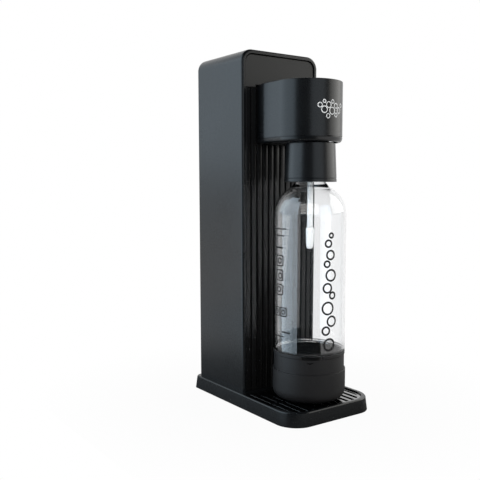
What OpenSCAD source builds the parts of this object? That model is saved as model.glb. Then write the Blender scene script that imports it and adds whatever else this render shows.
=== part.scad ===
// Sparkling water maker: a slim tower that houses a gas cylinder, a round-nosed head with a push
// button, a bottle holder that tilts forward, and a clear bottle hung over a drip grate.
// Millimetres. +Z is up and -Y is the front. The origin is on the table, under the middle of the base.

$fn = 72;

/* [Base] */
// Length of the base at the table, front to back
base_length = 192; // [190:1:198]
// Width of the base at the table
base_width = 122; // [118:1:130]
// Height of the base's rim above the table
base_height = 16; // [15:0.5:17]
// Lean of the base's sides from table to rim
base_flare = 1.5; // [1:0.25:3]
// Corner radius at the front of the base
base_front_corner = 25; // [20:1:28]
// Corner radius at the back of the base
base_rear_corner = 8; // [8:1:12]
// Width of the rim round the drip grate
base_rim = 4; // [3.5:0.5:5]
// Set-in of the tower's back from the back of the base
rear_margin = 3; // [2.5:0.5:4]
// Height of the feet below the base's edge
foot_proud = 1; // [0.8:0.1:1.4]
// Radius of a rubber foot
foot_radius = 7; // [5:0.5:9]

/* [Drip grate] */
// Depth of the grate's top below the rim
grate_drop = 1.5; // [1:0.5:2]
// Thickness of the grate
grate_thick = 3; // [2:0.5:4]
// Spacing of the slots
slot_pitch = 8.5; // [6:0.5:9]
// Width of a slot
slot_width = 4.5; // [2.5:0.5:4.5]

/* [Tower] */
// Width of the tower
tower_width = 105; // [102:1:108]
// Height of the tower's top above the table
tower_top = 400; // [398:1:410]
// Corner radius at the tower's top
tower_corner = 14; // [10:1:18]
// Wall of the tower's shell
tower_wall = 4.5; // [4:0.5:5]
// Thickness of the rear cover
cover_thick = 3; // [2.5:0.5:4]

/* [Front panels] */
// Number of flutes across the lower panel
flute_count = 12; // [8:1:16]
// Width of the groove between two flutes
groove_width = 2.4; // [1.5:0.1:3]
// Depth of the flutes
flute_depth = 2.8; // [2:0.2:3.2]
// Crown of each flute's face
flute_crown = 0.3; // [0.2:0.1:1]
// Set-back of the panels behind the shell's front edge
panel_recess = 1.2; // [0.8:0.2:1.6]
// Drop from the head's top to the join of the two panels
panel_lap = 2.8; // [2:0.2:4]

/* [Head] */
// Radius of the head's round nose
head_radius = 38.5; // [38:0.5:40]
// Reach of the head in front of the tower
head_reach = 84; // [84:0.5:87]
// Width of the head where it meets the tower
head_root = 66; // [62:1:70]
// Angle by which the head's sides turn in behind its middle, and the radius of that turn
head_back_turn = 20; // [10:1:30]
head_back_round = 25; // [15:1:35]
// Drop from the tower's top to the head's top
head_drop = 39; // [37:1:41]
// Height of the head with the ring under it
head_height = 64.5; // [63:0.5:66]
// Wall of the head
head_wall = 2.5; // [2:0.25:3]
// Height of the ring under the head
ring_height = 4.9; // [4.5:0.1:5.5]
// Lean of the ring toward its lower edge
ring_lean = 2.6; // [1:0.2:3]
// Width and depth of the groove above the ring
ring_groove = 0.9; // [0.5:0.1:1.2]

/* [Button] */
// Radius of the push button
button_radius = 24; // [20:0.5:26]
// Travel of the push button
button_travel = 6; // [4:0.5:6]
// Radius of the button's stem
stem_radius = 5; // [4:0.5:6]

/* [Bottle holder] */
// Distance of the bottle's axis from the tower's front
axis_reach = 52; // [51:0.5:53]
// Radius of the collar at its top
collar_top_radius = 26.8; // [26.5:0.1:27]
// Radius of the collar at its lower edge
collar_low_radius = 28.6; // [27.5:0.1:28.8]
// Height of the collar
collar_height = 42; // [38:1:44]
// Wall of the collar
collar_wall = 2.5; // [2:0.25:2.75]
// Radius of the trunnion pins
trunnion_radius = 3; // [2.5:0.25:3.25]
// Radius of the nozzle tube
nozzle_radius = 4; // [3:0.25:4.5]
// Radius of the nozzle's thicker tip
tip_radius = 5.2; // [4.75:0.05:6]
// Length of the nozzle's tip
tip_length = 24; // [18:1:30]
// Depth of the nozzle's end below the collar
nozzle_drop = 73; // [60:1:85]

/* [Bottle] */
// Radius of the bottle
bottle_radius = 39.2; // [38.5:0.1:40]
// Wall of the bottle
bottle_wall = 1.2; // [0.9:0.1:1.5]
// Gap between the bottle and the grate
bottle_gap = 2.5; // [2:0.1:4]
// Radius of the bottle's neck
neck_radius = 15; // [14.5:0.1:15.5]
// Radius where the neck meets the shoulder
crease_radius = 22; // [20:0.5:23]
// Drop from the collar's lower edge to that crease
crease_drop = 6.5; // [4:0.5:9]
// Height of the shoulder
shoulder_height = 28.5; // [25:0.5:32]
// Height of the bottle's black cup
cup_height = 53; // [45:1:58]
// Height of the step in the cup's side
cup_step = 32; // [26:1:36]
// Height of the lip round the cup's rim
cup_lip = 3; // [2.5:0.25:3.5]
// Wall of the cup
cup_wall = 1.8; // [1.5:0.1:2.2]
// Radius round the cup's lower edge
cup_round = 12; // [9:0.5:14]

/* [Gas cylinder] */
// Radius of the gas cylinder
vessel_radius = 30; // [29:0.1:30.3]
// Drop from the tower's top to the seat of the gas valve
valve_drop = 47; // [46:0.5:50]
// Wall of the gas cylinder
vessel_wall = 4; // [3:0.5:5]
// Radius of the cylinder's neck
vessel_neck = 14.5; // [14:0.25:15]
// Radius of the valve's thread
thread_radius = 10.5; // [10:0.1:10.7]
// Gap between the gas cylinder and the rear cover
vessel_gap = 8.5; // [7.5:0.5:10.5]
// Depth of the cradle in front of the gas cylinder
cradle_depth = 10.7; // [10:0.1:12]
// Width of the cradle
cradle_width = 68; // [66:1:76]
// Height of the cradle
cradle_height = 20; // [14:1:30]

/* [Lever] */
// Distance from the gas valve to the lever's pin
lever_short = 30; // [28:0.5:32]
// Radius of the lever's pin
lever_pin_radius = 3; // [2.5:0.25:3.5]
// Width of the lever
lever_width = 12; // [10:1:12]

/* [Fits] */
// Radial clearance of a turning or sliding fit
run_fit = 0.08; // [0.05:0.01:0.1]
// Gap between covers and the parts around them
cover_gap = 0.4; // [0.3:0.1:0.6]
// Gap between two parts that push on each other
push_gap = 0.3; // [0.2:0.05:0.3]
// Clearance of a screw in its hole
screw_fit = 0.1; // [0.05:0.05:0.15]

/* [Hidden] */
touch = 0.5;
base_front = -base_length / 2;
base_rear = base_length / 2;
plate_thick = 2.5;
plate_top = foot_proud + plate_thick;
plate_inset = base_flare + 2.5;
deck_thick = 3;
deck_bottom = base_height - deck_thick;
foot_sink = 1.2;
foot_x = base_width / 2 - 20;
foot_front_y = base_front + 26;
foot_rear_y = base_rear - 18;

tower_rear = base_rear - rear_margin;
cover_y = tower_rear - cover_thick - 0.5;
vessel_y = cover_y - vessel_gap - vessel_radius;
spine_thick = 3;
spine_back = vessel_y - vessel_radius - cradle_depth;
panel_thick = 2.3;
panel_back = spine_back - spine_thick;
panel_plate = panel_back - panel_thick;
panel_face = panel_plate - flute_depth;
tower_front = panel_face - panel_recess;
tower_inner = tower_width - 2 * tower_wall;
tower_inner_top = tower_top - tower_wall;
tower_inner_corner = tower_corner - tower_wall;
ledge_width = 3;
ledge_thick = 2.5;

tray_inset = base_flare + base_rim;
tray_front = base_front + tray_inset;
tray_rear = tower_front - 5;
tray_floor = plate_top + 1.6;
tray_wall = 1.6;
tray_base = 2.5;
grate_top = base_height - grate_drop;
grate_bottom = grate_top - grate_thick;
grate_border = 3.5;

upper_back = panel_face + 3;
flute_pitch = tower_inner / flute_count;
flute_width = flute_pitch - groove_width;
crown_radius = (pow(flute_width / 2, 2) + pow(flute_crown, 2)) / (2 * flute_crown);

spine_width = tower_inner - 3;
spine_top = tower_inner_top - 3;

head_top = tower_top - head_drop;
head_bottom = head_top - head_height;
panel_join = head_top - panel_lap;
head_y = tower_front - head_reach + head_radius;
ring_top = head_bottom + ring_height;
head_inner_top = head_top - head_wall;
ledge_bottom = head_bottom + 2;
bottom_plate_thick = 2.5;

cap_top = head_top - 0.4;
cap_thick = 3;
cap_under = cap_top - cap_thick;
guide_thick = 3;
guide_top = cap_under - button_travel - 5.6;
skirt_bottom = guide_top + button_travel + 1;
pad_top = guide_top - guide_thick - 2;
stem_bottom = pad_top + push_gap;

axis_y = tower_front - axis_reach;
pivot_z = head_bottom + 3.5;
collar_top = head_bottom - 0.5;
collar_bottom = collar_top - collar_height;
collar_web = 3;
collar_seat = collar_top - collar_web;
core_radius = 20;
core_top = pivot_z + 18;
skirt_radius = 23.3;
mouth_z = pivot_z - 14;
seal_thick = 3;
socket_top = mouth_z + seal_thick;
lug_radius = neck_radius + 2.6;
lug_height = 4;
lug_bottom = mouth_z - 11.2;
lug_angle = 40;
turn_angle = 60;
lock_top = lug_bottom - push_gap;
lock_thick = 7.5;
ear_inner = collar_top_radius + 2.2;
ear_thick = 4;
ear_radius = trunnion_radius + 2;
opening_radius = collar_top_radius + 1.2;
opening_shift = 1.2;

cup_radius = bottle_radius + 0.9;
cup_waist = bottle_radius - 0.5;
cup_bottom = grate_top + bottle_gap;
cup_rim = cup_bottom + cup_height;
cup_top = cup_rim - 0.5;
bottle_low = cup_bottom + 2.2;
bottle_low_radius = bottle_radius - cup_wall - 0.1;
crease_z = collar_bottom - crease_drop;
shoulder_z = crease_z - shoulder_height;
shoulder_run = bottle_radius - crease_radius;
shoulder_radius = (pow(shoulder_run, 2) + pow(shoulder_height, 2)) / (2 * shoulder_run);
nozzle_end = collar_bottom - nozzle_drop;

vessel_bottom = base_height + 2;
cradle_low = base_height + 44;
valve_seat = tower_top - valve_drop;
vessel_side_top = valve_seat - 49;
vessel_neck_low = valve_seat - 9;
vessel_neck_top = valve_seat - 3;
thread_length = 14.2;
thread_top = valve_seat + thread_length;
valve_pin_radius = 1.6;
pin_rise = 1.2;
valve_pin_top = thread_top + pin_rise;
label_thick = 0.3;
label_low = vessel_bottom + 8;
label_top = vessel_side_top - 2;

shelf_thick = 4;
shelf_bottom = valve_seat - shelf_thick;
block_half = 18;
block_depth = 15;
bore_top = thread_top + 1.5;
block_top = bore_top + 3.5;
pusher_radius = 2;
pusher_bottom = valve_pin_top + push_gap;
pusher_top = block_top + 3;
nub_radius = 4;
nub_bottom = pusher_top + push_gap;
lever_low = nub_bottom + 2.5;
lever_high = lever_low + 8;
lever_pin_y = vessel_y + lever_short;
lever_pin_z = (lever_low + lever_high) / 2;
leg_front = spine_back + 5;
leg_rear = leg_front + 6;
pad_radius = 3;
arm_high = pad_top - 2;
arm_low = arm_high - 5;
lever_ear = 4;
lever_ear_x = lever_width / 2 + 1;

hose_x = 12;
hose_radius = 3;
fitting_length = 8;
block_port = [vessel_y - block_depth - fitting_length, valve_seat + 9];
core_port_z = pivot_z + 12.5;
core_port = [axis_y + core_radius + 4.5, core_port_z];
hose_path = [block_port, [block_port[0] - 19, block_port[1]],
             [core_port[0] + 28, core_port[1]], core_port];
hose_steps = 18;

relief_x = -12;
relief_radius = 4.5;
relief_seat = core_top + 1.5;
relief_top = core_top + 7;
relief_bore = 3.2;
poppet_thick = 1.5;

screw_radius = 1.5;
screw_head = 3;
boss_radius = 4;
boss_x = head_half(0, panel_back) - head_wall - boss_radius + 1;
boss_z = [ring_top + 10, head_top - 10];
deck_screw_x = 36;
deck_screw_y = spine_back + 10;
rail_screw_x = tower_inner / 2 - 3;
rail_length = 46;
rail_rear = cover_y - ledge_thick - 6;
rail_screw_y = [rail_rear - rail_length + 6, rail_rear - 6];
plate_post = [base_width / 2 - 18, base_rear - 40];

// Points of an arc in a profile, from one angle to another
function arc(c, r, a0, a1, n = 8) =
    [for (i = [0:n]) let (a = a0 + (a1 - a0) * i / n) [c[0] + r * cos(a), c[1] + r * sin(a)]];

// Point and direction of a cubic curve at t
function curve(p, t) = pow(1 - t, 3) * p[0] + 3 * t * pow(1 - t, 2) * p[1]
    + 3 * t * t * (1 - t) * p[2] + t * t * t * p[3];
function curve_way(p, t) = 3 * pow(1 - t, 2) * (p[1] - p[0]) + 6 * t * (1 - t) * (p[2] - p[1])
    + 3 * t * t * (p[3] - p[2]);

// Half the head's width behind its turn, at y, and the y where the turn ends
function head_half(inset, y) =
    head_root / 2 - inset / cos(head_back_turn) - (y - tower_front) * tan(head_back_turn);
function turn_end(inset, x) =
    tower_front + (head_root / 2 - inset / cos(head_back_turn) - x) / tan(head_back_turn);

// A solid through a list of rings that all have the same number of points
module sweep(rings) {
    n = len(rings);
    m = len(rings[0]);
    points = [for (ring = rings) for (p = ring) p];
    first = [for (i = [0:n - 2]) for (j = [0:m - 1]) [i * m + j, (i + 1) * m + j, i * m + (j + 1) % m]];
    second = [for (i = [0:n - 2]) for (j = [0:m - 1])
        [i * m + (j + 1) % m, (i + 1) * m + j, (i + 1) * m + (j + 1) % m]];
    caps = [[for (j = [0:m - 1]) j], [for (j = [m - 1:-1:0]) (n - 1) * m + j]];
    polyhedron(points, concat(first, second, caps));
}

// A coil spring about the Z axis, from z0 to z1
module coil(radius, wire, turns, z0, z1) {
    steps = turns * 14;
    rise = z1 - z0 - 2 * wire;
    sweep([for (i = [0:steps]) let (a = 360 * i / 14) [for (j = [0:5]) let (b = 60 * j)
        [(radius + wire * cos(b)) * cos(a), (radius + wire * cos(b)) * sin(a),
         z0 + wire + rise * i / steps - wire * sin(b)]]]);
}

// A plate's outline with its own corner radius at the front and at the back
module outline(width, front, rear, rf, rr) {
    translate([-width / 2, front + rf]) square([width, rear - rr - front - rf]);
    translate([-width / 2 + rf, front]) square([width - 2 * rf, rear - front - rr]);
    translate([-width / 2 + rr, front + rf]) square([width - 2 * rr, rear - front - rf]);
    for (s = [-1, 1]) {
        translate([s * (width / 2 - rf), front + rf]) circle(rf);
        translate([s * (width / 2 - rr), rear - rr]) circle(rr);
    }
}

// The base's outline, drawn in from the table's outline by one inset
module base_outline(inset) {
    outline(base_width - 2 * inset, base_front + inset, base_rear - inset,
            base_front_corner - inset / 2, base_rear_corner - inset / 2);
}

// The drip tray's outline, drawn in by one inset
module tray_outline(inset) {
    outline(base_width - 2 * tray_inset - 2 * inset, tray_front + inset, tray_rear - inset,
            base_front_corner - tray_inset / 2 - inset, 4);
}

// An upright arch in X and Z with a flat foot and two round corners on top
module arch(width, low, high, corner) {
    translate([-width / 2, low]) square([width, high - corner - low]);
    translate([-width / 2 + corner, low]) square([width - 2 * corner, high - low]);
    for (s = [-1, 1]) translate([s * (width / 2 - corner), high - corner]) circle(corner);
}

// Extrudes a shape drawn in X and Z along Y
module along_y(from, to) {
    translate([0, to, 0]) rotate([90, 0, 0]) linear_extrude(to - from) children();
}

// The head's outline: a round nose with straight sides that turn in towards the tower. The sides lie just
// inside the nose's width, so that they cross its circle cleanly.
module head_outline(inset, rear) {
    r = head_radius - inset;
    tuck = 0.999 * r;
    q = head_back_round - inset;
    end_x = tuck - q * (1 - cos(head_back_turn));
    turn_y = turn_end(inset, end_x) - q * sin(head_back_turn);
    side = concat([[tuck, head_y]], arc([tuck - q, turn_y], q, 0, head_back_turn),
                  [[head_half(inset, rear), rear]]);
    translate([0, head_y]) circle(r);
    polygon(concat(side, [for (i = [len(side) - 1:-1:0]) [-side[i][0], side[i][1]]]));
}

// The hole in the head's underside that the holder tilts in
module holder_opening() {
    for (dy = [0, -opening_shift]) translate([0, axis_y + dy]) circle(opening_radius);
}

module base_plinth() {
    color([0.05, 0.05, 0.055]) difference() {
        hull() {
            translate([0, 0, foot_proud]) linear_extrude(touch) base_outline(0);
            translate([0, 0, base_height - 1.5]) linear_extrude(touch) base_outline(base_flare);
            translate([0, 0, base_height - touch]) linear_extrude(touch) base_outline(base_flare + 0.8);
        }
        translate([0, 0, foot_proud - 1]) linear_extrude(plate_thick + 1) base_outline(plate_inset);
        difference() {
            translate([0, 0, plate_top - touch]) linear_extrude(deck_bottom - plate_top + touch)
                intersection() {
                    base_outline(plate_inset + 1);
                    translate([-base_width, spine_back]) square([2 * base_width, base_length]);
                }
            for (s = [-1, 1]) translate([s * plate_post[0], plate_post[1], plate_top])
                cylinder(r = boss_radius, h = base_height);
        }
        translate([0, 0, tray_floor]) linear_extrude(base_height) tray_outline(0);
        for (s = [-1, 1]) {
            translate([s * plate_post[0], plate_post[1], 0])
                cylinder(r = screw_radius + screw_fit, h = deck_bottom - 1);
            translate([s * deck_screw_x, deck_screw_y, 0])
                cylinder(r = screw_radius + screw_fit, h = base_height + 1);
            for (y = rail_screw_y) translate([s * rail_screw_x, y, 0])
                cylinder(r = screw_radius + screw_fit, h = base_height + 1);
        }
    }
}

module base_plate() {
    color([0.08, 0.08, 0.085]) difference() {
        translate([0, 0, foot_proud]) linear_extrude(plate_thick) base_outline(plate_inset + cover_gap);
        for (s = [-1, 1]) {
            for (y = [foot_front_y, foot_rear_y]) translate([s * foot_x, y, 0])
                cylinder(r = foot_radius + run_fit, h = foot_proud + foot_sink);
            translate([s * plate_post[0], plate_post[1], 0]) {
                cylinder(r = screw_radius + screw_fit, h = base_height);
                cylinder(r = screw_head + screw_fit, h = foot_proud + 1.2);
            }
        }
    }
}

module rubber_feet() {
    color([0.03, 0.03, 0.03])
        for (s = [-1, 1], y = [foot_front_y, foot_rear_y]) translate([s * foot_x, y, 0])
            cylinder(r = foot_radius, h = foot_proud + foot_sink);
}

module base_screws() {
    color([0.7, 0.7, 0.72])
        for (s = [-1, 1]) translate([s * plate_post[0], plate_post[1], foot_proud + 0.2]) {
            cylinder(r = screw_head, h = 1);
            cylinder(r = screw_radius, h = 8);
        }
}

module drip_tray() {
    color([0.06, 0.06, 0.065]) difference() {
        translate([0, 0, tray_floor]) linear_extrude(grate_bottom - tray_floor) tray_outline(cover_gap);
        translate([0, 0, tray_floor + tray_base]) linear_extrude(base_height)
            tray_outline(cover_gap + tray_wall);
    }
}

module drip_grate() {
    span = base_width / 2 - tray_inset - grate_border;
    count = floor(span / slot_pitch);
    middle = (tray_front + tray_rear) / 2;
    color([0.1, 0.1, 0.105]) translate([0, 0, grate_bottom]) linear_extrude(grate_thick) difference() {
        tray_outline(cover_gap);
        intersection() {
            tray_outline(cover_gap + grate_border);
            union() for (i = [-count:count], half = [0, 1])
                translate([i * slot_pitch - slot_width / 2, half ? middle + 2 : tray_front])
                    square([slot_width, half ? tray_rear - middle - 2 : middle - 2 - tray_front]);
        }
    }
}

module tower_shell() {
    color([0.05, 0.05, 0.055]) difference() {
        union() {
            difference() {
                along_y(tower_front, tower_rear) arch(tower_width, base_height, tower_top, tower_corner);
                along_y(tower_front - 1, tower_rear + 1)
                    arch(tower_inner, base_height - 1, tower_inner_top, tower_inner_corner);
            }
            difference() {
                along_y(cover_y - ledge_thick, cover_y)
                    arch(tower_inner + 1, base_height, tower_inner_top + touch, tower_inner_corner + touch);
                along_y(cover_y - ledge_thick - 1, cover_y + 1)
                    arch(tower_inner - 2 * ledge_width, base_height - 1, tower_inner_top - ledge_width,
                         tower_inner_corner - ledge_width);
            }
            for (s = [-1, 1]) translate([s * rail_screw_x - 3.5, rail_rear - rail_length, base_height])
                cube([7, rail_length, 6]);
        }
        for (s = [-1, 1], y = rail_screw_y) translate([s * rail_screw_x, y, 0])
            cylinder(r = screw_radius + screw_fit, h = base_height + 5);
    }
}

module upper_front_panel() {
    gap = cover_gap;
    color([0.09, 0.088, 0.085]) {
        difference() {
            along_y(panel_face, upper_back)
                arch(tower_inner - 2 * gap, panel_join + gap / 2, tower_inner_top - gap, tower_inner_corner);
            translate([0, 0, head_bottom]) linear_extrude(head_height + gap) head_outline(-gap, panel_back + 1);
        }
        for (s = [-1, 1]) along_y(upper_back - touch, panel_back)
            translate([s * 30 - 2, head_top + 6]) square([4, tower_inner_top - head_top - 16]);
    }
}

module fluted_panel() {
    low = base_height + 0.2;
    high = panel_join - cover_gap / 2;
    color([0.055, 0.055, 0.058]) difference() {
        translate([0, 0, low]) linear_extrude(high - low) union() {
            translate([-tower_inner / 2 + cover_gap, panel_plate])
                square([tower_inner - 2 * cover_gap, panel_thick]);
            for (i = [0:flute_count - 1]) translate([(i + 0.5) * flute_pitch - tower_inner / 2, panel_face]) {
                translate([-flute_width / 2, flute_crown]) square([flute_width, flute_depth]);
                intersection() {
                    translate([0, crown_radius]) circle(crown_radius);
                    translate([-flute_width / 2, 0]) square([flute_width, flute_depth]);
                }
            }
        }
        translate([0, 0, head_bottom - cover_gap]) linear_extrude(head_top)
            head_outline(-cover_gap, panel_back + 1);
    }
}

module chassis() {
    color([0.16, 0.16, 0.17]) difference() {
        union() {
            along_y(panel_back, spine_back) arch(spine_width, base_height, spine_top, tower_inner_corner);
            translate([-30, panel_back + 1, shelf_bottom])
                cube([60, lever_pin_y + 8 - panel_back - 1, shelf_thick]);
            for (s = [-1, 1]) {
                translate([s * 28 - 2, panel_back + 1, shelf_bottom - 20])
                    cube([4, 18, 20 + touch]);
                translate([s * deck_screw_x - 7, panel_back + 1, base_height]) cube([14, 18, 4]);
                translate([s * (lever_ear_x + lever_ear / 2) - lever_ear / 2, lever_pin_y - 6, valve_seat - touch])
                    cube([lever_ear, 12, lever_high - valve_seat + 2]);
            }
        }
        translate([-18, panel_back - 1, arm_low - 10])
            cube([36, spine_thick + 2, valve_seat + 12 - arm_low + 10]);
        translate([-20, spine_back, shelf_bottom - 1]) cube([40, leg_rear + 4 - spine_back, shelf_thick + 2]);
        translate([0, vessel_y, shelf_bottom - 1]) cylinder(r = vessel_neck + 1.5, h = shelf_thick + 2);
        translate([0, lever_pin_y, lever_pin_z]) rotate([0, 90, 0])
            cylinder(r = lever_pin_radius + run_fit, h = 60, center = true);
        for (s = [-1, 1]) {
            translate([s * deck_screw_x, deck_screw_y, 0]) cylinder(r = screw_radius + screw_fit, h = base_height + 5);
            for (t = [-1, 1]) translate([s * 15, vessel_y + t * 12, shelf_bottom - 1])
                cylinder(r = screw_radius + screw_fit, h = shelf_thick + 2);
            for (z = boss_z) translate([s * boss_x, spine_back, z]) rotate([-90, 0, 0]) {
                translate([0, 0, -2 * spine_thick]) cylinder(r = screw_radius + screw_fit, h = 3 * spine_thick);
                cylinder(r = screw_head + 0.5, h = 4);
            }
        }
    }
}

module chassis_screws() {
    color([0.7, 0.7, 0.72]) for (s = [-1, 1]) {
        translate([s * deck_screw_x, deck_screw_y, deck_bottom - 2]) {
            cylinder(r = screw_head, h = 2);
            cylinder(r = screw_radius, h = 8);
        }
        for (y = rail_screw_y) translate([s * rail_screw_x, y, deck_bottom - 2]) {
            cylinder(r = screw_head - 0.5, h = 2);
            cylinder(r = screw_radius, h = 9);
        }
    }
}

module cylinder_cradle() {
    color([0.12, 0.12, 0.125]) difference() {
        translate([-cradle_width / 2, spine_back, cradle_low])
            cube([cradle_width, vessel_y - spine_back - 6, cradle_height]);
        translate([0, vessel_y, cradle_low - 1])
            cylinder(r = vessel_radius + label_thick + 0.7, h = cradle_height + 2);
    }
}

module valve_block() {
    color([0.72, 0.73, 0.74]) difference() {
        translate([-block_half, vessel_y - block_depth, valve_seat])
            cube([2 * block_half, 2 * block_depth, block_top - valve_seat]);
        translate([0, vessel_y, valve_seat - 1]) cylinder(r = thread_radius + run_fit, h = bore_top - valve_seat + 1);
        translate([0, vessel_y, bore_top - 1]) cylinder(r = pusher_radius + run_fit, h = block_top);
        translate([0, vessel_y, block_top - 2]) cylinder(r = pusher_radius + 2, h = 3);
        for (s = [-1, 1], t = [-1, 1]) translate([s * 15, vessel_y + t * 12, valve_seat - 1])
            cylinder(r = screw_radius + screw_fit, h = 9);
    }
}

module block_screws() {
    color([0.7, 0.7, 0.72])
        for (s = [-1, 1], t = [-1, 1]) translate([s * 15, vessel_y + t * 12, shelf_bottom - 2]) {
            cylinder(r = screw_head - 0.4, h = 2);
            cylinder(r = screw_radius, h = shelf_thick + 9);
        }
}

module valve_seal() {
    color([0.05, 0.05, 0.05]) translate([0, vessel_y, thread_top]) difference() {
        cylinder(r = thread_radius, h = bore_top - thread_top);
        translate([0, 0, -1]) cylinder(r = 5, h = 10);
    }
}

module pusher() {
    color([0.75, 0.75, 0.77]) translate([0, vessel_y, 0]) {
        translate([0, 0, pusher_bottom]) cylinder(r = pusher_radius, h = pusher_top - pusher_bottom);
        translate([0, 0, pusher_top - 1]) cylinder(r = pusher_radius + 2, h = 1);
    }
}

module pusher_seal() {
    color([0.05, 0.05, 0.05]) translate([0, vessel_y, block_top - 2]) difference() {
        cylinder(r = pusher_radius + 2, h = 1.6);
        translate([0, 0, -1]) cylinder(r = pusher_radius + run_fit, h = 4);
    }
}

module rocker_lever() {
    w = lever_width;
    color([0.6, 0.61, 0.63]) difference() {
        union() {
            translate([-w / 2, leg_front, lever_low]) cube([w, lever_pin_y - leg_front, lever_high - lever_low]);
            translate([-w / 2, leg_front, arm_low]) cube([w, leg_rear - leg_front, lever_high - arm_low]);
            translate([-w / 2, head_y, arm_low]) cube([w, leg_rear - head_y, arm_high - arm_low]);
            translate([0, head_y, pad_top - pad_radius]) rotate([0, 90, 0])
                cylinder(r = pad_radius, h = w, center = true);
            translate([0, vessel_y, nub_bottom + nub_radius]) rotate([0, 90, 0])
                cylinder(r = nub_radius, h = w, center = true);
            translate([0, lever_pin_y, lever_pin_z]) rotate([0, 90, 0])
                cylinder(r = (lever_high - lever_low) / 2, h = w, center = true);
        }
        translate([0, lever_pin_y, lever_pin_z]) rotate([0, 90, 0])
            cylinder(r = lever_pin_radius + run_fit, h = w + 2, center = true);
    }
}

module lever_pin() {
    color([0.78, 0.78, 0.8]) translate([0, lever_pin_y, lever_pin_z]) rotate([0, 90, 0])
        cylinder(r = lever_pin_radius, h = 2 * (lever_ear_x + lever_ear + 3), center = true);
}

module lever_clips() {
    color([0.7, 0.7, 0.72]) for (s = [-1, 1])
        translate([s * (lever_ear_x + lever_ear + 0.5), lever_pin_y, lever_pin_z]) rotate([0, 90, 0]) difference() {
            cylinder(r = lever_pin_radius + 2, h = 1, center = true);
            cylinder(r = lever_pin_radius + 0.02, h = 3, center = true);
        }
}

module head_shell() {
    color([0.05, 0.05, 0.055]) difference() {
        union() {
            difference() {
                translate([0, 0, ring_top]) linear_extrude(head_top - ring_top) head_outline(0, panel_back);
                translate([0, 0, ring_top - 1]) linear_extrude(head_inner_top - ring_top + 1)
                    head_outline(head_wall, panel_back + 1);
                translate([0, head_y, head_top - 10]) cylinder(r = button_radius + cover_gap, h = 20);
                translate([0, 0, ring_top - 1]) linear_extrude(ring_groove + 1) difference() {
                    head_outline(-1, panel_back + 1);
                    head_outline(ring_groove, panel_back + 2);
                }
            }
            translate([0, 0, guide_top - guide_thick - 3]) linear_extrude(3) intersection() {
                difference() {
                    head_outline(head_wall - touch, panel_back);
                    head_outline(head_wall + 4, panel_back);
                }
                translate([-base_width / 2, head_y - 8]) square([base_width, 24]);
            }
            for (s = [-1, 1], z = boss_z) translate([s * boss_x, panel_back - 12, z]) rotate([-90, 0, 0])
                cylinder(r = boss_radius, h = 12);
        }
        for (s = [-1, 1], z = boss_z) translate([s * boss_x, panel_back - 10, z]) rotate([-90, 0, 0])
            cylinder(r = screw_radius + screw_fit, h = 12);
    }
}

module head_lower_ring() {
    color([0.045, 0.045, 0.05]) difference() {
        hull() {
            translate([0, 0, ring_top - touch]) linear_extrude(touch) head_outline(0, panel_back);
            translate([0, 0, head_bottom + 0.45 * ring_height]) linear_extrude(touch)
                head_outline(0.2 * ring_lean, panel_back);
            translate([0, 0, head_bottom + 0.15 * ring_height]) linear_extrude(touch)
                head_outline(0.55 * ring_lean, panel_back);
            translate([0, 0, head_bottom]) linear_extrude(touch) head_outline(ring_lean, panel_back);
        }
        translate([0, 0, head_bottom - 1]) linear_extrude(ring_height) head_outline(4.6, panel_back + 1);
        translate([0, 0, ledge_bottom]) linear_extrude(ring_height) head_outline(3.2, panel_back + 1);
        translate([0, 0, head_bottom - 1]) linear_extrude(ring_height + 2) holder_opening();
    }
}

module head_bottom_plate() {
    color([0.04, 0.04, 0.045]) difference() {
        union() {
            translate([0, 0, ledge_bottom]) linear_extrude(bottom_plate_thick) head_outline(3.4, panel_back);
            for (s = [-1, 1]) {
                translate([s * (ear_inner + ear_thick / 2) - ear_thick / 2, axis_y - ear_radius, ledge_bottom])
                    cube([ear_thick, 2 * ear_radius, pivot_z - ledge_bottom]);
                translate([s * (ear_inner + ear_thick / 2), axis_y, pivot_z]) rotate([0, 90, 0])
                    cylinder(r = ear_radius, h = ear_thick, center = true);
            }
        }
        translate([0, 0, head_bottom - 1]) linear_extrude(ring_height + 3) holder_opening();
        translate([0, axis_y, pivot_z]) rotate([0, 90, 0])
            cylinder(r = trunnion_radius + run_fit, h = head_root * 2, center = true);
        translate([-base_width / 2, axis_y - ear_radius, head_bottom - ring_height - 5])
            cube([base_width, 2 * ear_radius, ledge_bottom - head_bottom + ring_height + 5]);
    }
}

module head_screws() {
    color([0.7, 0.7, 0.72]) for (s = [-1, 1], z = boss_z) translate([s * boss_x, spine_back + 2, z]) rotate([90, 0, 0]) {
        cylinder(r = screw_head, h = 2);
        cylinder(r = screw_radius, h = 14);
    }
}

module button_cap() {
    color([0.05, 0.05, 0.055]) translate([0, head_y, 0]) {
        translate([0, 0, cap_under]) cylinder(r = button_radius, h = cap_thick);
        difference() {
            translate([0, 0, skirt_bottom]) cylinder(r = button_radius, h = cap_top - skirt_bottom);
            translate([0, 0, skirt_bottom - 1]) cylinder(r = button_radius - 2, h = cap_top);
        }
    }
}

module button_stem() {
    color([0.8, 0.8, 0.8]) translate([0, head_y, stem_bottom])
        cylinder(r = stem_radius, h = cap_under - stem_bottom);
}

module button_spring() {
    color([0.7, 0.7, 0.72]) translate([0, head_y, 0]) coil(stem_radius + 3, 0.6, 4, guide_top, cap_under);
}

module button_guide() {
    color([0.1, 0.1, 0.105]) translate([0, 0, guide_top - guide_thick]) linear_extrude(guide_thick) difference() {
        intersection() {
            head_outline(head_wall + cover_gap, panel_back);
            translate([-base_width / 2, tower_front - base_length]) square([base_width, base_length - 12]);
        }
        translate([0, head_y]) circle(stem_radius + run_fit);
    }
}

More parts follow.
